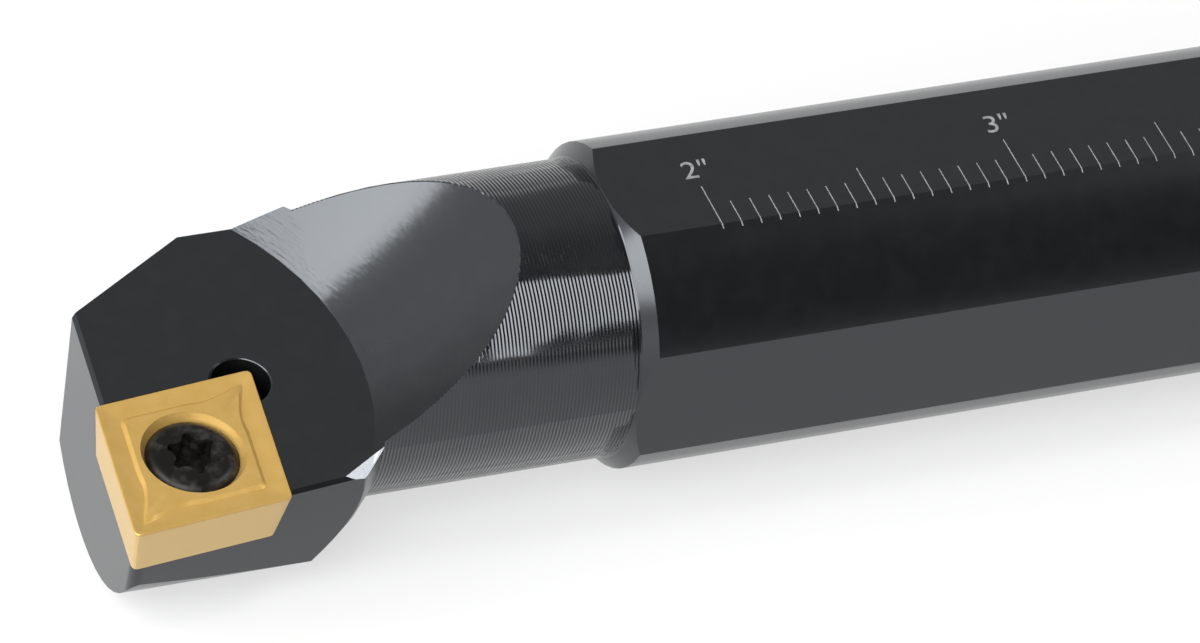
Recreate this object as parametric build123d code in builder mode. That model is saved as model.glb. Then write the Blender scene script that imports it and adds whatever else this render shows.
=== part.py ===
"""Right-hand indexable boring bar: a turned and milled steel bar, a rhombic carbide insert and its screw.

The bar lies along +X with its tail face at X = 0. The cutting corner points to +X and +Y, the rake face
of the insert looks up (+Z), and the Z = 0 plane runs through the bar axis. All lengths in millimetres.
"""
import os
from math import cos, radians, sin, sqrt, tan

from build123d import *

# Round shank with four clamping flats
overall_length = 304.8          # tail face to the tip of the insert nose
shank_diameter = 25.4
across_flats = 23.3
tail_chamfer = 1.0

# Turned neck, just below the level of the flats
neck_diameter = 23.2
neck_back_end = 41.9            # neck to shoulder corner, measured back from the nose tip
shoulder_angle = 46.5           # slope of the shoulder cone, from the axis

# Head, turned about its own axis, offset towards the cutting side; its back tapers about the bar axis
head_diameter = 28.3
head_axis_offset = 2.2
head_back_end = 21.35           # head to neck corner, measured back from the nose tip
head_step_length = 2.1
head_step_angle = 45.0
head_taper_angle = 36.0

# Insert: rhombus with cleared flanks, seated at a negative radial angle
nose_offset = 16.15             # bar axis to the tip of the insert nose
lead_angle = 5.4                # side cutting edge to the bar axis
radial_angle = 5.0              # rake face sinks towards the nose
corner_angle = 80.0
inscribed_circle = 12.7
insert_thickness = 4.76
flank_angle = 7.0
nose_radius = 0.4

# Hole of the insert and the countersunk screw that fills it
bore_diameter = 5.5
seat_angle = 60.0
seat_diameter = 7.9
seat_depth = 0.15
rim_diameter = 8.0
screw_head_diameter = 7.2
screw_head_dome = 0.6
screw_top_flat_diameter = 4.8
screw_thread_diameter = 4.9
screw_length_below_seat = 6.0
screw_tip_chamfer = 0.5
recess_depth = 1.8
recess_lobe_reach = 2.0
recess_lobe_radius = 0.42
recess_core_radius = 1.8
recess_flute_radius = 0.8
recess_flute_position = 2.23
recess_turn = 29.0
thread_clearance = 0.05         # radial, between the screw and its hole in the bar
hole_run_out = 1.0              # screw hole deeper than the screw tip

# Milled faces of the head
front_set_back = 0.5            # insert edge stands proud of the front face
front_clearance = 2.5
side_set_back = 0.42
side_clearance = 4.0
side_face_length = 30.0
far_chamfer_angle = 30.0
far_chamfer_start = 22.1        # from the nose tip across the front face to the chamfer
edge_break = 0.3                # along the rim of the flat, at the front and at the side
edge_break_angle = 45.0
front_break_length = 25.0
side_break_length = 18.5
break_room = 1.0
corner_blend = 0.8
relief_radius = 2.3             # corner relief under the inner corner of the insert
relief_position = (-12.7, -12.95)
relief_extra_depth = 0.3

# Form cutter that mills the flat beside the insert and the hollow run-out behind it
cutter_flat_radius = 22.5
cutter_flare_angle = 35.0       # slope of the run-out where it leaves the flat
cutter_profile_radius = 73.0
cutter_height = 16.0
cutter_position = (0.1, -13.5)

# Small bevel between the flat, the side face and the back taper of the head
heel_position = (-16.8, -2.0)
heel_heading = 30.0
heel_dip = 27.0
heel_length = 5.2
heel_width = 3.5
heel_height = 1.5

cut_room = 60.0                 # reach of a facing cut past the bar

# Sharp corner of the insert: the rounded tip ends a little short of it, by the same amount in X and Y
tip_shortfall = nose_radius * (cos(radians(45)) / sin(radians(corner_angle / 2)) - 1)
corner_x = overall_length + tip_shortfall
corner_y = nose_offset + tip_shortfall
rake = Plane(
    origin=(corner_x, corner_y, 0),
    x_dir=(1, 0, 0),
    z_dir=(0, sin(radians(radial_angle)), cos(radians(radial_angle))),
)
side = inscribed_circle / sin(radians(corner_angle))
side_dir = Vector(-cos(radians(lead_angle)), -sin(radians(lead_angle)))
front_dir = side_dir.rotate(Axis.Z, corner_angle)
hole_centre = (side_dir + front_dir) * (side / 2)
side_outward = side_dir.rotate(Axis.Z, -90)
front_outward = front_dir.rotate(Axis.Z, 90)


def milled_plane(edge, outward, set_back, clearance):
    """Plane along an insert edge, set back from it and leaning under it, with X back along the edge."""
    lean = radians(clearance)
    local = Plane(
        origin=outward * -set_back,
        x_dir=edge,
        z_dir=outward * cos(lean) - Vector(0, 0, sin(lean)),
    )
    return Plane(rake.location * local.location)


front_plane = milled_plane(front_dir, front_outward, front_set_back, front_clearance)
side_plane = milled_plane(side_dir, side_outward, side_set_back, side_clearance)
far_chamfer_plane = Plane(
    origin=rake.from_local_coords(front_dir * far_chamfer_start - front_outward * front_set_back),
    x_dir=(0, 0, 1),
    z_dir=(sin(radians(far_chamfer_angle)), -cos(radians(far_chamfer_angle)), 0),
)
heel_plane = Plane(
    rake.location
    * Location(heel_position, (0, 0, heel_heading))
    * Location((0, 0, 0), (-heel_dip, 0, 0))
)

# Outer body of the insert, also the shape of its pocket: the flanks lean in under the cutting edges
seat_width = inscribed_circle - 2 * insert_thickness * tan(radians(flank_angle))
with BuildPart() as insert_body:
    for depth, width in ((0, inscribed_circle), (insert_thickness, seat_width)):
        half_side = width / sin(radians(corner_angle)) / 2
        corners = [
            hole_centre + (side_dir * along + front_dir * across) * half_side
            for along, across in ((-1, -1), (1, -1), (1, 1), (-1, 1))
        ]
        with BuildSketch(rake.offset(-depth)):
            with BuildLine():
                Polyline(*corners, close=True)
            make_face()
            fillet(vertices(), nose_radius)
    loft(ruled=True)

# Bar: shank, neck and head are one piece of steel
with BuildPart() as bar:
    radius_step = (shank_diameter - neck_diameter) / 2
    neck_x = overall_length - neck_back_end
    shoulder_x = neck_x - radius_step / tan(radians(shoulder_angle))
    head_x = overall_length - head_back_end
    taper_x = head_x + head_step_length
    taper_radius = neck_diameter / 2 + head_step_length * tan(radians(head_step_angle))
    with BuildSketch(Plane.XY):
        with BuildLine():
            Polyline(
                (0, 0),
                (0, shank_diameter / 2 - tail_chamfer),
                (tail_chamfer, shank_diameter / 2),
                (shoulder_x, shank_diameter / 2),
                (neck_x, neck_diameter / 2),
                (head_x, neck_diameter / 2),
                (head_x, 0),
                close=True,
            )
        make_face()
    revolve(axis=Axis.X)

    with BuildSketch(Plane.YZ):
        Circle(shank_diameter)
        Rectangle(across_flats, across_flats, mode=Mode.SUBTRACT)
    extrude(amount=neck_x, mode=Mode.SUBTRACT)

    with BuildPart():
        with Locations((head_x, head_axis_offset, 0)):
            Cylinder(
                head_diameter / 2,
                corner_x - head_x,
                rotation=(0, 90, 0),
                align=(Align.CENTER, Align.CENTER, Align.MIN),
            )
        with BuildSketch(Plane.XY):
            with BuildLine():
                Polyline(
                    (head_x, 0),
                    (head_x, neck_diameter / 2),
                    (taper_x, taper_radius),
                    (corner_x, taper_radius + (corner_x - taper_x) * tan(radians(head_taper_angle))),
                    (corner_x, 0),
                    close=True,
                )
            make_face()
        revolve(axis=Axis.X, mode=Mode.INTERSECT)

    # Front face, side face and the upright chamfer on the far side of the head
    with BuildSketch(front_plane):
        Rectangle(cut_room, cut_room)
    extrude(amount=cut_room, mode=Mode.SUBTRACT)

    with BuildSketch(side_plane):
        Rectangle(2 * side_face_length, cut_room)
    extrude(amount=cut_room, mode=Mode.SUBTRACT)

    with BuildSketch(far_chamfer_plane):
        Rectangle(cut_room, cut_room)
    extrude(amount=cut_room, mode=Mode.SUBTRACT)

    # Flat beside the insert and the hollow run-out behind it, both left by one form cutter
    arc_height = cutter_profile_radius * cos(radians(cutter_flare_angle))
    arc_offset = cutter_flat_radius - cutter_profile_radius * sin(radians(cutter_flare_angle))
    cutter_top_radius = arc_offset + sqrt(cutter_profile_radius**2 - (arc_height - cutter_height) ** 2)
    cutter = Plane(rake.location * Location((*cutter_position, 0), (90, 0, 0)))
    with BuildSketch(cutter):
        with BuildLine():
            Polyline(
                (cutter_top_radius, cutter_height),
                (0, cutter_height),
                (0, 0),
                (cutter_flat_radius, 0),
            )
            RadiusArc((cutter_flat_radius, 0), (cutter_top_radius, cutter_height), -cutter_profile_radius)
        make_face()
    revolve(axis=Axis(cutter.origin, rake.z_dir), mode=Mode.SUBTRACT)

    # Blended corner between the front and side faces
    front_corner = bar.edges().filter_by(
        lambda edge: all(
            abs(plane.to_local_coords(edge @ end).Z) < 1e-4
            for plane in (front_plane, side_plane)
            for end in (0, 1)
        )
    )
    fillet(front_corner, corner_blend)

    # Rim of the flat broken along the front and along the side
    for edge, outward, set_back, length in (
        (front_dir, front_outward, front_set_back, front_break_length),
        (side_dir, side_outward, side_set_back, side_break_length),
    ):
        with BuildSketch(milled_plane(edge, outward, set_back + edge_break, -edge_break_angle)):
            Rectangle(length, 2 * break_room, align=(Align.MIN, Align.CENTER))
        extrude(amount=break_room, mode=Mode.SUBTRACT)

    # Bevel at the heel of the flat
    with BuildSketch(heel_plane):
        Rectangle(heel_length, heel_width, align=(Align.MAX, Align.MIN))
    extrude(amount=heel_height, mode=Mode.SUBTRACT)

    # Insert pocket with its corner relief, and the screw hole
    add(insert_body.part, mode=Mode.SUBTRACT)
    with BuildSketch(rake):
        with Locations(relief_position):
            Circle(relief_radius)
    extrude(amount=-(insert_thickness + relief_extra_depth), mode=Mode.SUBTRACT)
    with BuildSketch(rake.offset(-insert_thickness)):
        with Locations(hole_centre):
            Circle(screw_thread_diameter / 2 + thread_clearance)
    extrude(amount=-(screw_length_below_seat + hole_run_out), mode=Mode.SUBTRACT)

bar.part.label = "bar"

# Depths below the rake face where the seat cone ends in the bore and where it meets the screw thread
seat_slope = tan(radians(seat_angle / 2))
seat_end = seat_depth + (seat_diameter - bore_diameter) / 2 / seat_slope
head_edge_depth = seat_depth + (seat_diameter - screw_head_diameter) / 2 / seat_slope
head_end_depth = seat_depth + (seat_diameter - screw_thread_diameter) / 2 / seat_slope
screw_tip_depth = insert_thickness + screw_length_below_seat
hole_axis = Axis(rake.from_local_coords(hole_centre), rake.z_dir)
hole_section = Plane(rake.location * Location(hole_centre, (90, 0, 0)))

# Insert
with BuildPart() as insert:
    add(insert_body.part)
    with BuildSketch(hole_section):
        with BuildLine():
            Polyline(
                (0, 0),
                (rim_diameter / 2, 0),
                (seat_diameter / 2, -seat_depth),
                (bore_diameter / 2, -seat_end),
                (bore_diameter / 2, -insert_thickness),
                (0, -insert_thickness),
                close=True,
            )
        make_face()
    revolve(axis=hole_axis, mode=Mode.SUBTRACT)

insert.part.label = "insert"

# Clamping screw: domed countersunk head with a six-lobe recess
with BuildPart() as insert_screw:
    with BuildSketch(hole_section):
        with BuildLine():
            top_depth = head_edge_depth - screw_head_dome
            Polyline(
                (screw_head_diameter / 2, -head_edge_depth),
                (screw_thread_diameter / 2, -head_end_depth),
                (screw_thread_diameter / 2, -screw_tip_depth + screw_tip_chamfer),
                (screw_thread_diameter / 2 - screw_tip_chamfer, -screw_tip_depth),
                (0, -screw_tip_depth),
                (0, -top_depth),
                (screw_top_flat_diameter / 2, -top_depth),
            )
            ThreePointArc(
                (screw_top_flat_diameter / 2, -top_depth),
                (
                    (screw_top_flat_diameter + 2 * screw_head_diameter) / 6,
                    -top_depth - screw_head_dome / 3,
                ),
                (screw_head_diameter / 2, -head_edge_depth),
            )
        make_face()
    revolve(axis=hole_axis)
    with BuildSketch(rake.offset(-top_depth)):
        with Locations(hole_centre):
            Circle(recess_core_radius)
            with PolarLocations(recess_lobe_reach - recess_lobe_radius, 6, start_angle=recess_turn):
                Circle(recess_lobe_radius)
            with PolarLocations(recess_flute_position, 6, start_angle=recess_turn + 30):
                Circle(recess_flute_radius, mode=Mode.SUBTRACT)
    extrude(amount=-recess_depth, mode=Mode.SUBTRACT)

insert_screw.part.label = "insert_screw"

os.makedirs("parts", exist_ok=True)
export_step(bar.part, "parts/bar.step")
export_step(insert.part, "parts/insert.step")
export_step(insert_screw.part, "parts/insert_screw.step")
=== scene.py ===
"""Looks of the indexable boring bar, in metres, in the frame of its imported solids."""
from math import asin, cos, pi, radians, sin, tan

import bmesh
import bpy
from mathutils import Matrix, Vector


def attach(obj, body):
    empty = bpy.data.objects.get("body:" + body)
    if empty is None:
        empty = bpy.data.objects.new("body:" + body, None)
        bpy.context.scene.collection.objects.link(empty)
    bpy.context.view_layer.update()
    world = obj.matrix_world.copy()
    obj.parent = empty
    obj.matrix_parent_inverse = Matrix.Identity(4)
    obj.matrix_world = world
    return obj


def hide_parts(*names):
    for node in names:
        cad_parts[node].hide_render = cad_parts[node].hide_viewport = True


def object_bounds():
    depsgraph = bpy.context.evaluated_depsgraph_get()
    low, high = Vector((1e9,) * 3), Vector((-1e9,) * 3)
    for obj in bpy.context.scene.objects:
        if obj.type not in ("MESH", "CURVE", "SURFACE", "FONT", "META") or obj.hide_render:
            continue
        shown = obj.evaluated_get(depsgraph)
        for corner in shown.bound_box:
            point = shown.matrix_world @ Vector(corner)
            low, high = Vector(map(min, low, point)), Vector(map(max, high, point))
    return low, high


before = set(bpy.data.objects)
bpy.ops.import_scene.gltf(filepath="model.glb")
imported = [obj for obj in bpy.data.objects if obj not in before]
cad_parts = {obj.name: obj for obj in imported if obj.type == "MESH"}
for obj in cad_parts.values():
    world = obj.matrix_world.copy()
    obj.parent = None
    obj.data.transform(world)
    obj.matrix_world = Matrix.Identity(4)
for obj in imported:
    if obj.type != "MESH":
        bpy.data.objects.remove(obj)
solid_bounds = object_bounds()
scene = bpy.context.scene
MM = 0.001

# ---------------------------------------------------------------------------------------------------
# Bar. One piece of alloy steel, turned on the shank and neck and milled on the flats, the head and the
# hollow run-out, then chemically blackened. The turning leaves fine feed grooves on the neck, and the
# form cutter leaves arcs about its own axis on the run-out.
# ---------------------------------------------------------------------------------------------------
OVERALL_LENGTH = 304.8
NECK_RADIUS = 11.6
NECK_BACK_X = OVERALL_LENGTH - 41.9
HEAD_BACK_X = OVERALL_LENGTH - 21.35
NOSE_OFFSET = 16.15
NOSE_RADIUS = 0.4
CORNER_ANGLE = radians(80)
LEAD_ANGLE = radians(5.4)
RADIAL_ANGLE = radians(5)
CUTTER_CENTRE = (0.1, -13.5)
CUTTER_FLAT_RADIUS = 22.5
CUTTER_FLARE = radians(35)
CUTTER_PROFILE_RADIUS = 73.0
RELIEF_CENTRE = Vector((292.14, 3.07, -1.39))
RELIEF_RADIUS = 2.3
RELIEF_BREAK = 0.17

FEED_PITCH = 0.290
FEED_SLOPE = 0.375
CUTTER_MARK_PITCH = 0.20
CUTTER_MARK_SWEEP = 14.0
CUTTER_MARK_DEPTH = 0.015
FINE_DEPTH = 0.0006
NECK_TOLERANCE = 0.09
RUNOUT_TOLERANCE = 0.25
FINE_GRAIN, SPECK_GRAIN, COARSE_GRAIN, SWAY_GRAIN = 9.0, 4.2, 0.55, 0.22
OXIDE_ROUGHNESS = 0.20
RUNOUT_SMOOTHER, NECK_SMOOTHER, HEAD_ROUGHER, SPECK_ROUGHNESS = 0.07, 0.10, 0.03, 0.05
OXIDE_COLOUR = (0.0035, 0.0040, 0.0044, 1)
OXIDE_WORN = (0.0060, 0.0064, 0.0068, 1)
OXIDE_IOR = 1.77
OXIDE_SHEEN = (0.88, 0.935, 1.0, 1)

# Sharp corner of the insert on the rake plane, and the plane's own directions
tip_shortfall = NOSE_RADIUS * (cos(radians(45)) / sin(CORNER_ANGLE / 2) - 1)
rake_corner = Vector((OVERALL_LENGTH + tip_shortfall, NOSE_OFFSET + tip_shortfall, 0))
rake_normal = Vector((0, sin(RADIAL_ANGLE), cos(RADIAL_ANGLE)))
rake_across = rake_normal.cross(Vector((1, 0, 0)))


class Field:
    """A value or vector that varies over a surface: an output socket in a material's node tree."""

    def __init__(self, tree, socket):
        self.tree, self.socket = tree, socket

    def node(self, kind, settings=None, sockets=None, output=0):
        made = self.tree.nodes.new(kind)
        for name, value in (settings or {}).items():
            setattr(made, name, value)
        for name, value in (sockets or {}).items():
            if isinstance(value, Field):
                self.tree.links.new(value.socket, made.inputs[name])
            else:
                made.inputs[name].default_value = value
        return Field(self.tree, made.outputs[output])

    def math(self, operation, *others):
        sockets = {0: self}
        sockets.update({number + 1: other for number, other in enumerate(others)})
        return self.node("ShaderNodeMath", {"operation": operation}, sockets)

    def __add__(self, other):
        return self.math("ADD", other)

    __radd__ = __add__

    def __sub__(self, other):
        return self.math("SUBTRACT", other)

    def __rsub__(self, other):
        return self * -1 + other

    def __mul__(self, other):
        return self.math("MULTIPLY", other)

    __rmul__ = __mul__

    def below(self, limit):
        return self.math("LESS_THAN", limit)

    def above(self, limit):
        return self.math("GREATER_THAN", limit)

    def ramp(self, low, high, start=0.0, end=1.0):
        return self.node(
            "ShaderNodeMapRange",
            {"interpolation_type": "SMOOTHSTEP"},
            {"Value": self, "From Min": low, "From Max": high, "To Min": start, "To Max": end},
        )

    def blend(self, first, second):
        return self.node(
            "ShaderNodeMix", {"data_type": "RGBA"}, {"Factor": self, 6: first, 7: second}, output=2
        )

    def split(self):
        parts = self.node("ShaderNodeSeparateXYZ", sockets={0: self})
        return [Field(self.tree, parts.socket.node.outputs[axis]) for axis in range(3)]

    def along(self, direction):
        return self.node(
            "ShaderNodeVectorMath", {"operation": "DOT_PRODUCT"}, {0: self, 1: direction}, output=1
        )

    def grain(self, scale, detail=3.0, roughness=0.55):
        return self.node(
            "ShaderNodeTexNoise",
            sockets={"Vector": self, "Scale": scale, "Detail": detail, "Roughness": roughness},
        )


def new_finish(name, **constants):
    """A material with its constant values set; gives the shader and the place on the piece in mm."""
    finish = bpy.data.materials.new(name)
    finish.use_nodes = True
    shader = finish.node_tree.nodes["Principled BSDF"]
    for socket, value in constants.items():
        shader.inputs[socket.replace("_", " ")].default_value = value
    tree = finish.node_tree
    place = tree.nodes.new("ShaderNodeTexCoord")
    metres = Field(tree, place.outputs["Object"])
    millimetres = metres.node(
        "ShaderNodeVectorMath", {"operation": "SCALE"}, {0: metres, "Scale": 1 / MM}
    )
    return finish, shader, millimetres


def drive(shader, socket, field):
    field.tree.links.new(field.socket, shader.inputs[socket])


def relief(height, depth_mm):
    """Normal of a surface that rises and falls by depth_mm as height goes from -1 to 1."""
    return height.node("ShaderNodeBump", sockets={"Height": height, "Distance": depth_mm * MM})


def rake_parts(place, origin):
    """Distances from origin along X, across the rake plane, and up from it."""
    offset = place.node("ShaderNodeVectorMath", {"operation": "SUBTRACT"}, {0: place, 1: origin})
    return [offset.along(axis) for axis in (Vector((1, 0, 0)), rake_across, rake_normal)]


oxide, oxide_shader, place = new_finish(
    "black_oxide_steel", IOR=OXIDE_IOR, Specular_Tint=OXIDE_SHEEN
)
x, y, z = place.split()
axis_radius = (y * y + z * z).math("SQRT")

on_neck = (
    (axis_radius - NECK_RADIUS).math("ABSOLUTE").below(NECK_TOLERANCE)
    * x.above(NECK_BACK_X - 0.1)
    * x.below(HEAD_BACK_X + 0.1)
)

corner_x, corner_y, rake_z = rake_parts(place, rake_corner)
cutter_x, cutter_y = corner_x - CUTTER_CENTRE[0], corner_y - CUTTER_CENTRE[1]
cutter_radius = (cutter_x * cutter_x + cutter_y * cutter_y).math("SQRT")
arc_offset = CUTTER_FLAT_RADIUS - CUTTER_PROFILE_RADIUS * sin(CUTTER_FLARE)
arc_height = CUTTER_PROFILE_RADIUS * cos(CUTTER_FLARE)
run_u = cutter_radius - arc_offset
run_v = rake_z - arc_height
on_runout = (
    ((run_u * run_u + run_v * run_v).math("SQRT") - CUTTER_PROFILE_RADIUS)
    .math("ABSOLUTE")
    .below(RUNOUT_TOLERANCE)
    * cutter_radius.above(CUTTER_FLAT_RADIUS + 0.02)
)
on_head = x.above(HEAD_BACK_X)

fine = place.grain(FINE_GRAIN)
coarse = place.grain(COARSE_GRAIN, detail=4.0)
specks = place.grain(SPECK_GRAIN, detail=2.0)

feed_ridges = x.math("PINGPONG", FEED_PITCH / 2) * FEED_SLOPE
feed_sway = place.grain(SWAY_GRAIN, detail=1.0).ramp(0.3, 0.7, 0.84, 1.0)
sweep = cutter_y.math("ARCTAN2", cutter_x)
cutter_marks = place.node(
    "ShaderNodeCombineXYZ",
    sockets={"X": cutter_radius * (1 / CUTTER_MARK_PITCH), "Y": sweep * CUTTER_MARK_SWEEP, "Z": 0.0},
).grain(1.0, detail=2.0)
# The edge of the corner relief is broken by hand, which leaves a narrow bevel round it
relief_x, relief_y, relief_z = rake_parts(place, RELIEF_CENTRE)
relief_edge = (relief_x * relief_x + relief_y * relief_y).math("SQRT").ramp(
    RELIEF_RADIUS, RELIEF_RADIUS + RELIEF_BREAK, -RELIEF_BREAK * 0.7, 0.0
)
height = (
    relief_edge * relief_z.above(0.0)
    + feed_ridges * feed_sway * on_neck
    + (cutter_marks - 0.5) * on_runout * CUTTER_MARK_DEPTH
    + (fine - 0.5) * FINE_DEPTH
)
drive(oxide_shader, "Normal", relief(height, 1.0))
drive(oxide_shader, "Base Color", coarse.ramp(0.35, 0.75).blend(OXIDE_COLOUR, OXIDE_WORN))
drive(
    oxide_shader,
    "Roughness",
    OXIDE_ROUGHNESS
    + on_runout * -RUNOUT_SMOOTHER
    + on_neck * -NECK_SMOOTHER
    + on_head * HEAD_ROUGHER
    + (specks - 0.5) * SPECK_ROUGHNESS,
)
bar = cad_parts["bar"]
bar.data.materials.clear()
bar.data.materials.append(oxide)

# ---------------------------------------------------------------------------------------------------
# Inch scale. Marks burned by laser through the black finish of the upper flat, a sixteenth of an inch
# apart, with longer ones at each half and each whole inch, and a figure at each whole inch.
# ---------------------------------------------------------------------------------------------------
UPPER_FLAT_Z = 11.65
CREASE_Y = 5.056
FIRST_INCH, LAST_INCH = 2, 11
FIRST_INCH_X = 255.15
DIVISION = 25.4 / 16
MARK_WIDTH = 0.085
MARK_THICKNESS = 0.012
MARK_PROUD = 0.004
SIXTEENTH_LENGTH, HALF_LENGTH, INCH_LENGTH = 2.28, 3.7, 4.33
SHANK_RADIUS = 12.7
ROUND_LENGTH = 0.42
FIGURE_HEIGHT = 1.95
CAPITAL_SHARE = 0.72
FIGURE_SLANT = 0.10
FIGURE_SHIFT = -0.18
FIGURE_BASE_Y = -0.25
LASER_GREY = (0.20, 0.20, 0.20, 1)
LASER_PALE = (0.34, 0.34, 0.335, 1)

# Each mark runs on over the crease, a little way down the round of the shank
round_turn = asin(CREASE_Y / SHANK_RADIUS) + ROUND_LENGTH / SHANK_RADIUS / 2
round_height = SHANK_RADIUS + MARK_PROUD - MARK_THICKNESS / 2
on_round = (
    Matrix.Rotation(-round_turn, 4, "X")
    @ Matrix.Translation((0, 0, round_height))
    @ Matrix.Diagonal((MARK_WIDTH, ROUND_LENGTH, MARK_THICKNESS, 1))
)

scale_mesh = bmesh.new()
for number in range((LAST_INCH - FIRST_INCH) * 16 + 1):
    length = SIXTEENTH_LENGTH
    if number % 8 == 0:
        length = HALF_LENGTH
    if number % 16 == 0:
        length = INCH_LENGTH
    middle = Vector((
        FIRST_INCH_X - number * DIVISION,
        CREASE_Y - length / 2,
        UPPER_FLAT_Z + MARK_PROUD - MARK_THICKNESS / 2,
    ))
    size = Matrix.Diagonal((MARK_WIDTH, length, MARK_THICKNESS, 1))
    bmesh.ops.create_cube(scale_mesh, size=1, matrix=Matrix.Translation(middle) @ size)
    bmesh.ops.create_cube(
        scale_mesh, size=1, matrix=Matrix.Translation((middle.x, 0, 0)) @ on_round
    )
for inch in range(FIRST_INCH, LAST_INCH + 1):
    figure = bpy.data.curves.new(f"figure_{inch}", "FONT")
    figure.body = f'{inch}"'
    figure.size = FIGURE_HEIGHT / CAPITAL_SHARE
    figure.align_x = "CENTER"
    figure.shear = FIGURE_SLANT
    figure.extrude = MARK_THICKNESS / 2
    figure.resolution_u = 4
    written = bpy.data.objects.new(f"figure_{inch}", figure)
    scene.collection.objects.link(written)
    bpy.context.view_layer.update()
    shape = bpy.data.meshes.new_from_object(
        written.evaluated_get(bpy.context.evaluated_depsgraph_get())
    )
    turned = Matrix.Rotation(pi, 4, "Z")
    inch_x = FIRST_INCH_X - (inch - FIRST_INCH) * 16 * DIVISION
    figure_place = (
        inch_x + FIGURE_SHIFT, FIGURE_BASE_Y, UPPER_FLAT_Z + MARK_PROUD - MARK_THICKNESS / 2
    )
    shape.transform(Matrix.Translation(figure_place) @ turned)
    scale_mesh.from_mesh(shape)
    bpy.data.objects.remove(written)
    bpy.data.meshes.remove(shape)
    bpy.data.curves.remove(figure)
bmesh.ops.remove_doubles(scale_mesh, verts=scale_mesh.verts, dist=1e-6)
bmesh.ops.recalc_face_normals(scale_mesh, faces=scale_mesh.faces)
bmesh.ops.scale(scale_mesh, verts=scale_mesh.verts, vec=(MM, MM, MM))


def piece_from(name, mesh, finish):
    """A visual piece at the origin that rides with the bar."""
    data = bpy.data.meshes.new(name)
    mesh.to_mesh(data)
    mesh.free()
    data.materials.append(finish)
    piece = bpy.data.objects.new(name, data)
    scene.collection.objects.link(piece)
    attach(piece, "root")
    return piece


laser, laser_shader, place = new_finish("laser_mark", Roughness=0.6)
drive(
    laser_shader, "Base Color", place.grain(2.5).ramp(0.3, 0.7).blend(LASER_GREY, LASER_PALE)
)
piece_from("inch_scale", scale_mesh, laser)

# ---------------------------------------------------------------------------------------------------
# Insert. Pressed and sintered carbide with a golden coating, an 80 degree rhombus with cleared flanks
# and a countersunk hole. A pressed chip breaker sinks from each edge to the foot of a raised middle,
# which draws out into a forked point at both cutting corners.
# ---------------------------------------------------------------------------------------------------
INSCRIBED_CIRCLE = 12.7
INSERT_THICKNESS = 4.76
FLANK_ANGLE = radians(7)
BORE_RADIUS = 2.75
SEAT_ANGLE = radians(30)
SEAT_RADIUS = 3.95
SEAT_DEPTH = 0.15
RIM_RADIUS = 4.0
EDGE_HONE = 0.06
LAND_WIDTH = 0.20
GROOVE_DEPTH = 0.20
STEP_INSET = 1.62
STEP_WIDTH = 0.30
MIDDLE_DEPTH = 0.02
FORK_REACH = 1.25
FORK_WAIST = 0.42
FORK_START = 4.3
LOOP_POINTS = 192
PRESSED_GOLD = (0.60, 0.375, 0.10, 1)
PRESSED_GOLD_PALE = (0.64, 0.405, 0.12, 1)
FLANK_GOLD = (0.70, 0.495, 0.22, 1)

side_dir = Vector((-cos(LEAD_ANGLE), -sin(LEAD_ANGLE)))
front_dir = Matrix.Rotation(CORNER_ANGLE, 2) @ side_dir
half_side = INSCRIBED_CIRCLE / sin(CORNER_ANGLE) / 2
hole_centre = (side_dir + front_dir) * half_side


def on_rake(flat, depth):
    """Point of the insert from its place on the rake plane and its depth below it."""
    return rake_corner + Vector((1, 0, 0)) * flat.x + rake_across * flat.y - rake_normal * depth


def way_round():
    """For each point of a loop: its place between the corners, and the nearest corner's number."""
    corners = [Vector(steps) for steps in ((-1, -1), (1, -1), (1, 1), (-1, 1))]
    for number in range(LOOP_POINTS):
        quarter, rest = divmod(number * 4 / LOOP_POINTS, 1)
        first, last = int(quarter), (int(quarter) + 1) % 4
        nearest = first if rest < 0.5 else last
        yield corners[first].lerp(corners[last], rest), corners[nearest], nearest, min(rest, 1 - rest)


def rhombus_places(inset, depth, corner_radius, fork=0.0):
    """Places round the insert, on a rounded rhombus drawn out to a fork at the cutting corners."""
    half = half_side - inset / sin(CORNER_ANGLE)
    places = []
    for steps, corner_steps, corner, rest in way_round():
        flat = (side_dir * steps.x + front_dir * steps.y) * half
        tip = (side_dir * corner_steps.x + front_dir * corner_steps.y) * half
        cutting = corner in (0, 2)
        opening = CORNER_ANGLE if cutting else pi - CORNER_ANGLE
        near = rest * 2 * half
        if near < corner_radius / tan(opening / 2):
            centre = tip - tip.normalized() * (corner_radius / sin(opening / 2))
            flat = centre + (flat - centre).normalized() * corner_radius
        if cutting and near < FORK_START:
            closeness = 1 - near / FORK_START
            pull = FORK_REACH * closeness**2.2 - FORK_WAIST * sin(pi * closeness) ** 2
            flat = flat + tip.normalized() * pull * fork
        places.append(on_rake(hole_centre + flat, depth))
    return places


def circle_places(radius, depth):
    """Places round the hole, each in line with its own place on the rhombus."""
    places = []
    for steps, _, _, _ in way_round():
        outward = (side_dir * steps.x + front_dir * steps.y).normalized()
        places.append(on_rake(hole_centre + outward * radius, depth))
    return places


def grow_loop(mesh, ring, places):
    """Extrudes a ring of vertices to the next places, and gives the new ring in the same order."""
    edges = [mesh.edges.get((ring[i - 1], ring[i])) for i in range(len(ring))]
    grown = set(
        part
        for part in bmesh.ops.extrude_edge_only(mesh, edges=edges)["geom"]
        if isinstance(part, bmesh.types.BMVert)
    )
    following = [
        next(edge.other_vert(point) for edge in point.link_edges if edge.other_vert(point) in grown)
        for point in ring
    ]
    for point, spot in zip(following, places):
        point.co = spot
    return following


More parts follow.
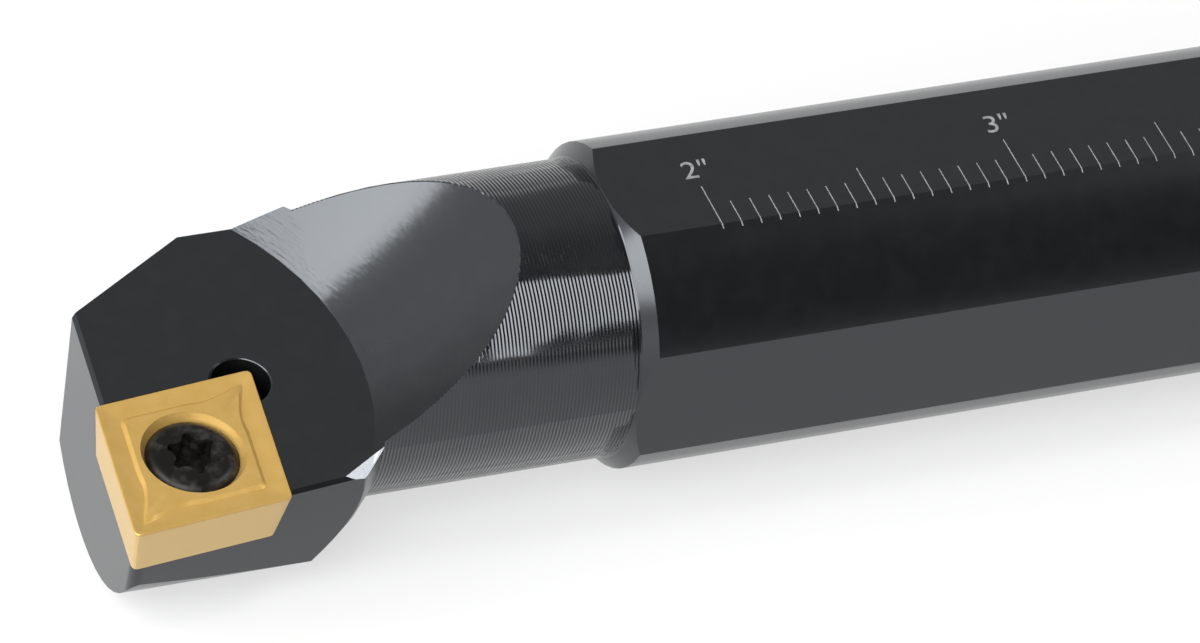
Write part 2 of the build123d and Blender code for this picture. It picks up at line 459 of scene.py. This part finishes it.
insert_mesh = bmesh.new()
seat_end = SEAT_DEPTH + (SEAT_RADIUS - BORE_RADIUS) / tan(SEAT_ANGLE)
lean = INSERT_THICKNESS * tan(FLANK_ANGLE)
foot = rhombus_places(lean, INSERT_THICKNESS, NOSE_RADIUS)
ring = bmesh.ops.create_circle(insert_mesh, segments=LOOP_POINTS, radius=1)["verts"]
for point, spot in zip(ring, foot):
    point.co = spot
for places in (
    rhombus_places(EDGE_HONE * tan(FLANK_ANGLE), EDGE_HONE, NOSE_RADIUS),
    rhombus_places(EDGE_HONE, 0.0, NOSE_RADIUS),
    rhombus_places(LAND_WIDTH, 0.0, NOSE_RADIUS),
    rhombus_places(LAND_WIDTH + 0.5, GROOVE_DEPTH * 0.7, NOSE_RADIUS, fork=0.3),
    rhombus_places(STEP_INSET, GROOVE_DEPTH, 0.5, fork=1.0),
    rhombus_places(STEP_INSET + STEP_WIDTH, MIDDLE_DEPTH, 0.5, fork=0.72),
    circle_places(RIM_RADIUS, MIDDLE_DEPTH),
    circle_places(SEAT_RADIUS, SEAT_DEPTH),
    circle_places(BORE_RADIUS, seat_end),
    circle_places(BORE_RADIUS, INSERT_THICKNESS),
    foot,
):
    ring = grow_loop(insert_mesh, ring, places)
bmesh.ops.remove_doubles(insert_mesh, verts=insert_mesh.verts, dist=1e-5)
# The extrusion adds faces in no fixed order, so they are put in the order of their vertices
insert_mesh.verts.index_update()
vertex_count = len(insert_mesh.verts)


def vertex_order(face):
    """Number of its own for a face, from its three lowest vertices."""
    first, second, third = sorted(point.index for point in face.verts)[:3]
    return (first * vertex_count + second) * vertex_count + third


insert_mesh.faces.sort(key=vertex_order)
bmesh.ops.recalc_face_normals(insert_mesh, faces=insert_mesh.faces)
for edge in insert_mesh.edges:
    edge.smooth = len(edge.link_faces) == 2 and edge.calc_face_angle(0) < radians(25)
for face in insert_mesh.faces:
    face.smooth = True
bmesh.ops.scale(insert_mesh, verts=insert_mesh.verts, vec=(MM, MM, MM))

# The flanks are given a paler gold than the pressed top and the hole
gold, gold_shader, place = new_finish("golden_coating", Metallic=0.45)
corner_x, corner_y, rake_z = rake_parts(place, rake_corner)
hole_x, hole_y = corner_x - hole_centre.x, corner_y - hole_centre.y
on_flank = (
    rake_z.below(-GROOVE_DEPTH * 1.2)
    * (hole_x * hole_x + hole_y * hole_y).above(RIM_RADIUS**2)
)
pressed = place.grain(0.8, detail=4.0).ramp(0.3, 0.7).blend(PRESSED_GOLD, PRESSED_GOLD_PALE)
drive(gold_shader, "Base Color", on_flank.blend(pressed, FLANK_GOLD))
drive(gold_shader, "Roughness", place.grain(5.0).ramp(0.3, 0.7, 0.36, 0.46))
drive(gold_shader, "Normal", relief(place.grain(14.0) - 0.5, 0.0022))
insert_piece = piece_from("insert_with_chip_breaker", insert_mesh, gold)
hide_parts("insert")

# ---------------------------------------------------------------------------------------------------
# Clamping screw. A small countersunk steel screw with a domed head and a six-lobe recess, blackened
# and rubbed by the driver, so the rim of the recess and the dome are scuffed.
# ---------------------------------------------------------------------------------------------------
SCREW_BLACK = (0.011, 0.010, 0.009, 1)
SCREW_SCUFFED = (0.055, 0.050, 0.045, 1)
DENT_DEPTH = 0.012

screw_finish, screw_shader, place = new_finish("screw_steel", Metallic=0.55)
scuff = place.grain(0.9, detail=3.0)
drive(screw_shader, "Base Color", scuff.ramp(0.45, 0.75).blend(SCREW_BLACK, SCREW_SCUFFED))
drive(screw_shader, "Roughness", scuff.ramp(0.35, 0.65, 0.30, 0.48))
drive(screw_shader, "Normal", relief(place.grain(2.4) - 0.5, DENT_DEPTH))
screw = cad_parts["insert_screw"]
screw.data.materials.clear()
screw.data.materials.append(screw_finish)

# ---------------------------------------------------------------------------------------------------
# Studio. A sheet of pale paper under the lowest point of the head, a surround that is white at the
# horizon and dims overhead, two wide soft boxes before and beside the cutting end and a small one
# towards the tail.
# ---------------------------------------------------------------------------------------------------
FLOOR_SIZE = 6.0
FLOOR_COLOUR = (0.36, 0.36, 0.36, 1)
FLOOR_LIFT_SEEN = 0.58
# Painted light on the paper, seen only in reflections: a glow that dims, as painted shade, from 11 to
# 23 mm out from the bar's axis towards the camera side
FLOOR_PAINTED_GLOW_BEHIND, FLOOR_PAINTED_GLOW_IN_FRONT = 0.48, 0.25
FLOOR_PAINTED_SHADE_START, FLOOR_PAINTED_SHADE_END = 11, 23
BACKDROP_TOP = 0.16
CEILING_FAR, CEILING_NEAR = 0.34, 0.085
GLOW_BEARING, GLOW_HEIGHT, GLOW_LEVEL = radians(-28), radians(31), 0.50

floor_mesh = bmesh.new()
bmesh.ops.create_grid(floor_mesh, x_segments=1, y_segments=1, size=FLOOR_SIZE / 2)
bmesh.ops.translate(floor_mesh, verts=floor_mesh.verts, vec=(0.15, 0, solid_bounds[0].z))
floor_data = bpy.data.meshes.new("floor")
floor_mesh.to_mesh(floor_data)
floor_mesh.free()
floor = bpy.data.objects.new("floor", floor_data)
scene.collection.objects.link(floor)

paper, paper_shader, place = new_finish("floor_paper", Roughness=0.9, Emission_Strength=1.0)
paper_shader.inputs["Base Color"].default_value = FLOOR_COLOUR
seen = place.node("ShaderNodeLightPath", output="Is Camera Ray")
mirrored = Field(paper.node_tree, seen.socket.node.outputs["Is Glossy Ray"])
# Painted glow for reflections on the bar, fading as painted shade towards the camera side of the bar
painted_glow_in_reflections = place.split()[1].ramp(
    FLOOR_PAINTED_SHADE_START, FLOOR_PAINTED_SHADE_END, FLOOR_PAINTED_GLOW_BEHIND, FLOOR_PAINTED_GLOW_IN_FRONT
)
drive(paper_shader, "Emission Color", seen * FLOOR_LIFT_SEEN + mirrored * painted_glow_in_reflections)
floor_data.materials.append(paper)

world = bpy.data.worlds.new("studio")
scene.world = world
world.use_nodes = True
room = world.node_tree
room.nodes.clear()
direction = Field(room, room.nodes.new("ShaderNodeTexCoord").outputs["Generated"])
_, towards_cutting_side, elevation = direction.split()
ceiling = towards_cutting_side.ramp(-0.5, 0.2, CEILING_FAR, CEILING_NEAR)
glow_direction = (
    cos(GLOW_BEARING) * cos(GLOW_HEIGHT),
    sin(GLOW_BEARING) * cos(GLOW_HEIGHT),
    sin(GLOW_HEIGHT),
)
glow = direction.along(glow_direction).ramp(0.85, 1.0, 0.0, GLOW_LEVEL)
level = ceiling + glow + elevation.ramp(0.0, BACKDROP_TOP, 1.0, 0.0) * (1 - ceiling)
camera_ray = direction.node("ShaderNodeLightPath", output="Is Camera Ray")
sky = direction.node(
    "ShaderNodeBackground",
    sockets={"Color": (1, 1, 1, 1), "Strength": level + camera_ray * (1 - level)},
)
output = room.nodes.new("ShaderNodeOutputWorld")
room.links.new(sky.socket, output.inputs["Surface"])


def soft_box(name, spot, aim, width, height, level):
    """Rectangular lamp whose face has the given brightness."""
    lamp = bpy.data.lights.new(name, "AREA")
    lamp.shape = "RECTANGLE"
    lamp.size, lamp.size_y = width, height
    lamp.energy = level * pi * width * height
    box = bpy.data.objects.new(name, lamp)
    scene.collection.objects.link(box)
    box.location = spot
    box.rotation_mode = "QUATERNION"
    box.rotation_quaternion = (Vector(aim) - spot).to_track_quat("-Z", "Y")


head_middle = (0.285, 0, 0)


def from_head(azimuth, elevation, distance):
    """Place seen from the head at that bearing, in degrees from +X and above the floor."""
    level_part = cos(radians(elevation)) * distance
    return Vector(head_middle) + Vector((
        cos(radians(azimuth)) * level_part,
        sin(radians(azimuth)) * level_part,
        sin(radians(elevation)) * distance,
    ))


# Each lamp: azimuth, elevation, distance, then width, height and brightness
for name, bearing, width, height, level in (
    ("front_box", (12, 35, 1.0), 0.90, 0.84, 5.1),
    ("side_box", (61, 38, 1.1), 0.52, 1.00, 6.0),
    ("rear_box", (171, 45, 1.0), 0.20, 0.20, 16.5),
):
    soft_box(name, from_head(*bearing), head_middle, width, height, level)

# Camera above the cutting side, looking back along the bar through a long lens
LENS = 253.19
CAMERA_PLACE = (0.49456, 0.42381, 0.43039)
CAMERA_RIGHT = (-0.9214, 0.3612, 0.1435)
CAMERA_UP = (-0.1469, -0.6655, 0.7318)
CAMERA_BACK = (0.3598, 0.6532, 0.6662)

view = bpy.data.cameras.new("camera")
view.lens = LENS
view.sensor_width = 36
view.clip_start, view.clip_end = 0.01, 20
camera = bpy.data.objects.new("camera", view)
scene.collection.objects.link(camera)
camera_turn = Matrix((CAMERA_RIGHT, CAMERA_UP, CAMERA_BACK)).transposed().to_4x4()
camera.matrix_world = Matrix.Translation(CAMERA_PLACE) @ camera_turn
scene.camera = camera
scene.view_settings.view_transform = "Standard"
